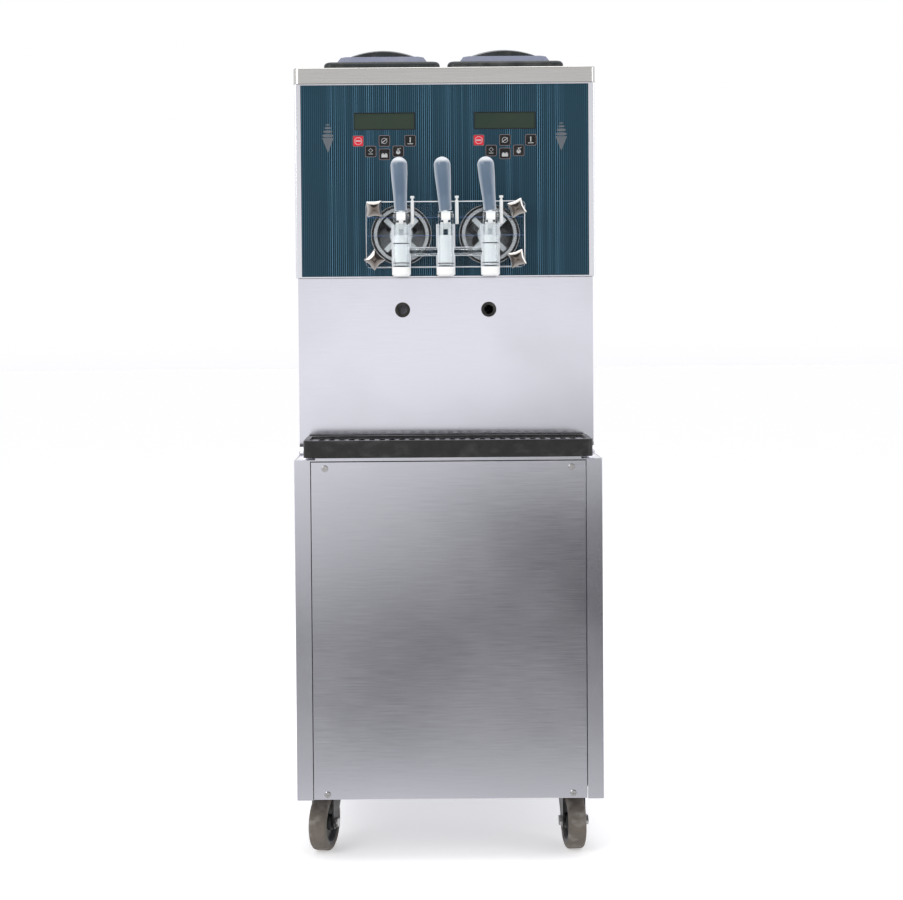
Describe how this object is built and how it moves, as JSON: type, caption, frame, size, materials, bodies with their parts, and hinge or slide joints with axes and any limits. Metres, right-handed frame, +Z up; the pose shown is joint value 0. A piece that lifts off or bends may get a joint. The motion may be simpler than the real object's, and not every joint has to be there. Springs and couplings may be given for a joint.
{
  "type": "soft serve ice cream machine",
  "caption": "Floor-standing soft-serve freezer: clear door with draw handles, hopper lids, striped control fascia, drip tray and a steel pedestal on swivel casters.",
  "frame": {"origin": "floor level, at the centre of the plan", "axes": "+Z up, serving side faces -Y, +X to the right seen from the serving side"},
  "size_m": [0.548, 0.76, 1.4675],
  "materials": {
    "cabinet_steel": "fine brushed satin",
    "polished_steel": "polished",
    "worktop_steel": "satin, brushed across",
    "food_steel": "food-grade satin",
    "grid_steel": "bright satin",
    "frame_tube": "mill finish",
    "condenser_fins": "thin bare fins",
    "motor_casting": "cast, painted grey",
    "motor_paint": "black enamel",
    "bright_fasteners": "bright",
    "knob_chrome": "mirror polished",
    "fascia_film": "glossy printed film with fine vertical lines",
    "display_window": "glossy, unlit",
    "key_black": "glossy printed keys, the stop keys red",
    "clear_acrylic": "clear, polished edges",
    "grip_acrylic": "clear, blue tint",
    "white_plastic": "smooth food-grade plastic",
    "seal_rubber": "soft, satin",
    "black_plastic": "fine grained",
    "tray_plastic": "satin moulded",
    "lid_black": "fine grained",
    "lid_tier": "satin, lilac grey",
    "caster_steel": "black, worn at the edges",
    "caster_rubber": "dusty grey-brown tread"
  },
  "bodies": {
    "cabinet": {"base_plate": "cabinet_steel", "frame": "frame_tube", "side_panels": "cabinet_steel", "front_panel": "cabinet_steel", "panel_screws": "bright_fasteners", "rear_panel": "cabinet_steel", "cable_gland": "black_plastic", "deck": "cabinet_steel", "splash_panel": "cabinet_steel", "drip_chutes": "black_plastic", "fascia_housing": "polished_steel", "fascia_panel": "fascia_film", "displays": "display_window", "keypad": "key_black", "top_plate": "worktop_steel", "hoppers": "food_steel", "freezing_cylinders": "food_steel", "motors": "motor_casting", "compressor": "motor_paint", "condenser": "condenser_fins", "electrical_box": "frame_tube", "door_studs": "bright_fasteners", "caster_plates": "caster_steel"},
    "fan": {"fan_blades": "black_plastic"},
    "door": {"door_block": "clear_acrylic", "door_seals": "seal_rubber", "pivot_pins": "bright_fasteners", "nozzle_caps": "white_plastic", "flow_adjusters": "white_plastic"},
    "tray": {"drip_tray": "tray_plastic"},
    "tray_grid": {"drip_grid": "grid_steel"},
    "beater_left": {"beater_left": "white_plastic"},
    "beater_right": {"beater_right": "white_plastic"},
    "lid_left": {"lid_rim_left": "lid_black", "lid_cover_left": "lid_tier", "lid_dome_left": "lid_black"},
    "lid_right": {"lid_rim_right": "lid_black", "lid_cover_right": "lid_tier", "lid_dome_right": "lid_black"},
    "knob_lower_left": {"knob_lower_left": "knob_chrome"},
    "knob_upper_left": {"knob_upper_left": "knob_chrome"},
    "knob_lower_right": {"knob_lower_right": "knob_chrome"},
    "knob_upper_right": {"knob_upper_right": "knob_chrome"},
    "handle_left": {"lever_left": "white_plastic", "grip_left": "grip_acrylic"},
    "valve_left": {"plunger_left": "white_plastic"},
    "handle_centre": {"lever_centre": "white_plastic", "grip_centre": "grip_acrylic"},
    "valve_centre": {"plunger_centre": "white_plastic"},
    "handle_right": {"lever_right": "white_plastic", "grip_right": "grip_acrylic"},
    "valve_right": {"plunger_right": "white_plastic"},
    "caster_front_left": {"caster_fork_front_left": "caster_steel"},
    "wheel_front_left": {"caster_wheel_front_left": "caster_rubber"},
    "caster_front_right": {"caster_fork_front_right": "caster_steel"},
    "wheel_front_right": {"caster_wheel_front_right": "caster_rubber"},
    "caster_rear_left": {"caster_fork_rear_left": "caster_steel"},
    "wheel_rear_left": {"caster_wheel_rear_left": "caster_rubber"},
    "caster_rear_right": {"caster_fork_rear_right": "caster_steel"},
    "wheel_rear_right": {"caster_wheel_rear_right": "caster_rubber"}
  },
  "joints": [
    {"name": "door_slide", "type": "slide", "parent": "cabinet", "child": "door", "axis": [0, -1, 0], "range_m": [0, 0.06]},
    {"name": "fan_spin", "type": "hinge", "parent": "cabinet", "child": "fan", "pos_m": [0, 0.247, 0.33], "axis": [0, -1, 0], "continuous": true},
    {"name": "tray_slide", "type": "slide", "parent": "cabinet", "child": "tray", "axis": [0, -1, 0], "range_m": [0, 0.15]},
    {"name": "grid_lift", "type": "slide", "parent": "tray", "child": "tray_grid", "axis": [0, 0, 1], "range_m": [0, 0.06]},
    {"name": "beater_spin_left", "type": "hinge", "parent": "cabinet", "child": "beater_left", "pos_m": [-0.08, 0, 1.109], "axis": [0, -1, 0], "continuous": true},
    {"name": "beater_spin_right", "type": "hinge", "parent": "cabinet", "child": "beater_right", "pos_m": [0.08, 0, 1.109], "axis": [0, -1, 0], "continuous": true},
    {"name": "lid_lift_left", "type": "slide", "parent": "cabinet", "child": "lid_left", "axis": [0, 0, 1], "range_m": [0, 0.12]},
    {"name": "lid_lift_right", "type": "slide", "parent": "cabinet", "child": "lid_right", "axis": [0, 0, 1], "range_m": [0, 0.12]},
    {"name": "knob_turn_lower_left", "type": "hinge", "parent": "door", "child": "knob_lower_left", "pos_m": [-0.128, -0.284, 1.063], "axis": [0, -1, 0], "continuous": true},
    {"name": "knob_turn_upper_left", "type": "hinge", "parent": "door", "child": "knob_upper_left", "pos_m": [-0.128, -0.284, 1.154], "axis": [0, -1, 0], "continuous": true},
    {"name": "knob_turn_lower_right", "type": "hinge", "parent": "door", "child": "knob_lower_right", "pos_m": [0.128, -0.284, 1.063], "axis": [0, -1, 0], "continuous": true},
    {"name": "knob_turn_upper_right", "type": "hinge", "parent": "door", "child": "knob_upper_right", "pos_m": [0.128, -0.284, 1.154], "axis": [0, -1, 0], "continuous": true},
    {"name": "handle_pull_left", "type": "hinge", "parent": "door", "child": "handle_left", "pos_m": [-0.08, -0.304, 1.14], "axis": [1, 0, 0], "range_deg": [0, 45]},
    {"name": "valve_lift_left", "type": "slide", "parent": "door", "child": "valve_left", "axis": [0, 0, 1], "range_m": [0, 0.019]},
    {"name": "handle_pull_centre", "type": "hinge", "parent": "door", "child": "handle_centre", "pos_m": [0, -0.304, 1.14], "axis": [1, 0, 0], "range_deg": [0, 45]},
    {"name": "valve_lift_centre", "type": "slide", "parent": "door", "child": "valve_centre", "axis": [0, 0, 1], "range_m": [0, 0.019]},
    {"name": "handle_pull_right", "type": "hinge", "parent": "door", "child": "handle_right", "pos_m": [0.08, -0.304, 1.14], "axis": [1, 0, 0], "range_deg": [0, 45]},
    {"name": "valve_lift_right", "type": "slide", "parent": "door", "child": "valve_right", "axis": [0, 0, 1], "range_m": [0, 0.019]},
    {"name": "swivel_front_left", "type": "hinge", "parent": "cabinet", "child": "caster_front_left", "pos_m": [-0.22, -0.267, 0.12], "axis": [0, 0, 1], "continuous": true},
    {"name": "wheel_roll_front_left", "type": "hinge", "parent": "caster_front_left", "child": "wheel_front_left", "pos_m": [-0.22677, -0.29417, 0.05], "axis": [0.9703, -0.2419, 0], "continuous": true},
    {"name": "swivel_front_right", "type": "hinge", "parent": "cabinet", "child": "caster_front_right", "pos_m": [0.22, -0.267, 0.12], "axis": [0, 0, 1], "continuous": true},
    {"name": "wheel_roll_front_right", "type": "hinge", "parent": "caster_front_right", "child": "wheel_front_right", "pos_m": [0.22244, -0.29489, 0.05], "axis": [0.9962, 0.0872, 0], "continuous": true},
    {"name": "swivel_rear_left", "type": "hinge", "parent": "cabinet", "child": "caster_rear_left", "pos_m": [-0.22, 0.283, 0.12], "axis": [0, 0, 1], "continuous": true},
    {"name": "wheel_roll_rear_left", "type": "hinge", "parent": "caster_rear_left", "child": "wheel_rear_left", "pos_m": [-0.21562, 0.25534, 0.05], "axis": [0.9877, 0.1564, 0], "continuous": true},
    {"name": "swivel_rear_right", "type": "hinge", "parent": "cabinet", "child": "caster_rear_right", "pos_m": [0.22, 0.283, 0.12], "axis": [0, 0, 1], "continuous": true},
    {"name": "wheel_roll_rear_right", "type": "hinge", "parent": "caster_rear_right", "child": "wheel_rear_right", "pos_m": [0.21659, 0.25521, 0.05], "axis": [0.9925, -0.1219, 0], "continuous": true}
  ],
  "couplings": [
    {"joint": "valve_lift_left", "follows": "handle_pull_left", "m_per_rad": 0.024},
    {"joint": "valve_lift_centre", "follows": "handle_pull_centre", "m_per_rad": 0.024},
    {"joint": "valve_lift_right", "follows": "handle_pull_right", "m_per_rad": 0.024}
  ]
}
